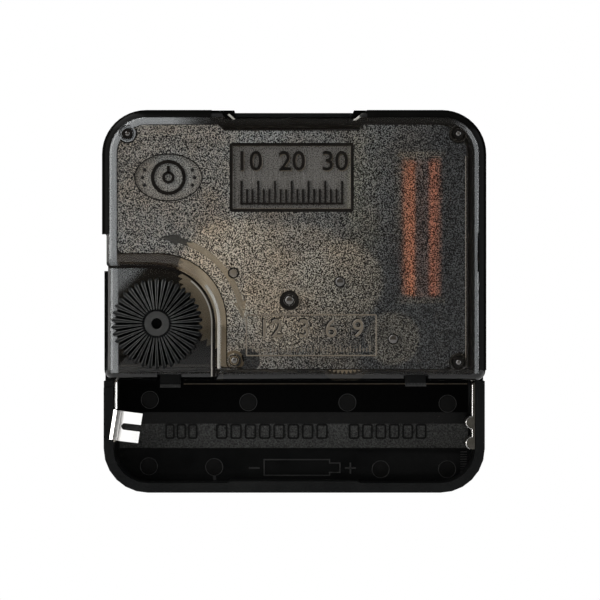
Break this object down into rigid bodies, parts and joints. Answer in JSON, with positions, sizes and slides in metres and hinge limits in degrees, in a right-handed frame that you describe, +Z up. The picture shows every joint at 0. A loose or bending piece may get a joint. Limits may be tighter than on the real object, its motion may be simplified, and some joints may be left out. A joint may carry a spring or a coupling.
{
  "type": "quartz clock movement",
  "caption": "Battery quartz clock movement: square black case, smoked cover, ridged setting knob, open AA bay and a threaded spindle with hour, minute and seconds tubes.",
  "frame": {"origin": "on the spindle's axis in the plane of the case's raised seat, where the dial's side of the case begins", "axes": "+Y along the spindle towards the dial and hands, +Z up as the movement hangs with its battery bay below, +X to the right as seen from the back"},
  "size_m": [0.056, 0.0285, 0.0561],
  "materials": {
    "black_plastic": "matte black injection-moulded ABS",
    "smoked_plastic": "smoked clear plastic, frosted on its panel",
    "beige_plastic": "beige acetal",
    "brass": "turned brass",
    "rubber": "black rubber",
    "knob_plastic": "black plastic, ridged",
    "white_plastic": "white acetal",
    "steel": "ground steel",
    "magnet": "dark sintered magnet",
    "bobbin_plastic": "natural plastic bobbin",
    "copper": "enamelled copper wire",
    "board": "pale green laminate",
    "nickel": "bright nickel",
    "solder": "dull solder"
  },
  "bodies": {
    "case": {"case": "black_plastic", "back_cover": "smoked_plastic", "middle_plate": "beige_plastic", "threaded_bush": "brass", "rubber_washer": "rubber", "stator": "steel", "coil_core": "steel", "coil_bobbin": "bobbin_plastic", "coil_inner_winding": "copper", "coil_outer_winding": "copper", "circuit_board": "board", "quartz_crystal": "nickel", "driver_chip": "knob_plastic", "solder_joint_low": "solder", "solder_joint_high": "solder", "positive_contact": "nickel", "negative_contact": "nickel"},
    "nut": {"hex_nut": "brass"},
    "knob": {"setting_knob": "knob_plastic", "setting_shaft": "white_plastic"},
    "motion_wheel": {"motion_wheel": "white_plastic"},
    "minute_tube": {"minute_tube": "brass"},
    "hour_wheel": {"hour_wheel": "white_plastic"},
    "rotor": {"rotor": "knob_plastic", "rotor_magnet": "magnet"},
    "idler_wheel": {"idler_wheel": "beige_plastic"},
    "crown_wheel": {"crown_wheel": "white_plastic"},
    "seconds_wheel": {"seconds_wheel": "beige_plastic", "seconds_pin": "steel"},
    "third_wheel": {"third_wheel": "white_plastic"},
    "minute_clutch_gear": {"minute_clutch_gear": "beige_plastic"},
    "negative_leaf": {"negative_leaf": "nickel"}
  },
  "joints": [
    {"name": "knob_turn", "type": "hinge", "parent": "case", "child": "knob", "pos_m": [-0.01928, 0, -0.00338], "axis": [0, 1, 0], "continuous": true},
    {"name": "motion_wheel_turn", "type": "hinge", "parent": "case", "child": "motion_wheel", "pos_m": [-0.00826, 0, -0.00145], "axis": [0, 1, 0], "continuous": true},
    {"name": "minute_tube_turn", "type": "hinge", "parent": "case", "child": "minute_tube", "pos_m": [0, 0, 0], "axis": [0, 1, 0], "continuous": true},
    {"name": "hour_wheel_turn", "type": "hinge", "parent": "case", "child": "hour_wheel", "pos_m": [0, 0, 0], "axis": [0, 1, 0], "continuous": true},
    {"name": "rotor_turn", "type": "hinge", "parent": "case", "child": "rotor", "pos_m": [0.01506, 0, -0.00561], "axis": [0, 1, 0], "continuous": true},
    {"name": "idler_wheel_turn", "type": "hinge", "parent": "case", "child": "idler_wheel", "pos_m": [0.00813, 0, -0.00433], "axis": [0, 1, 0], "continuous": true},
    {"name": "crown_wheel_turn", "type": "hinge", "parent": "case", "child": "crown_wheel", "pos_m": [0.00734, 0, 0.00269], "axis": [0, 1, 0], "continuous": true},
    {"name": "seconds_wheel_turn", "type": "hinge", "parent": "case", "child": "seconds_wheel", "pos_m": [0, 0, 0], "axis": [0, 1, 0], "continuous": true},
    {"name": "third_wheel_turn", "type": "hinge", "parent": "case", "child": "third_wheel", "pos_m": [-0.0081, 0, 0.004], "axis": [0, 1, 0], "continuous": true},
    {"name": "minute_clutch_gear_turn", "type": "hinge", "parent": "case", "child": "minute_clutch_gear", "pos_m": [0, 0, 0], "axis": [0, 1, 0], "continuous": true},
    {"name": "negative_leaf_bend", "type": "hinge", "parent": "case", "child": "negative_leaf", "pos_m": [-0.02496, -0.0099, -0.0184], "axis": [0.1564, 0, 0.9877], "range_deg": [0, 48], "stiffness_Nm_per_rad": 0.0008},
    {"name": "hex_nut_slide", "type": "slide", "parent": "case", "child": "nut", "axis": [0, 1, 0], "range_m": [0, 0.0025]}
  ],
  "couplings": [
    {"joint": "motion_wheel_turn", "follows": "knob_turn", "ratio": -0.77778},
    {"joint": "minute_tube_turn", "follows": "knob_turn", "ratio": 2.3333},
    {"joint": "hour_wheel_turn", "follows": "knob_turn", "ratio": 0.19444},
    {"joint": "idler_wheel_turn", "follows": "rotor_turn", "ratio": -0.125},
    {"joint": "crown_wheel_turn", "follows": "rotor_turn", "ratio": 0.016667},
    {"joint": "seconds_wheel_turn", "follows": "rotor_turn", "ratio": -0.0020833},
    {"joint": "third_wheel_turn", "follows": "rotor_turn", "ratio": 0.00027778},
    {"joint": "minute_clutch_gear_turn", "follows": "rotor_turn", "ratio": -0.000034722}
  ]
}
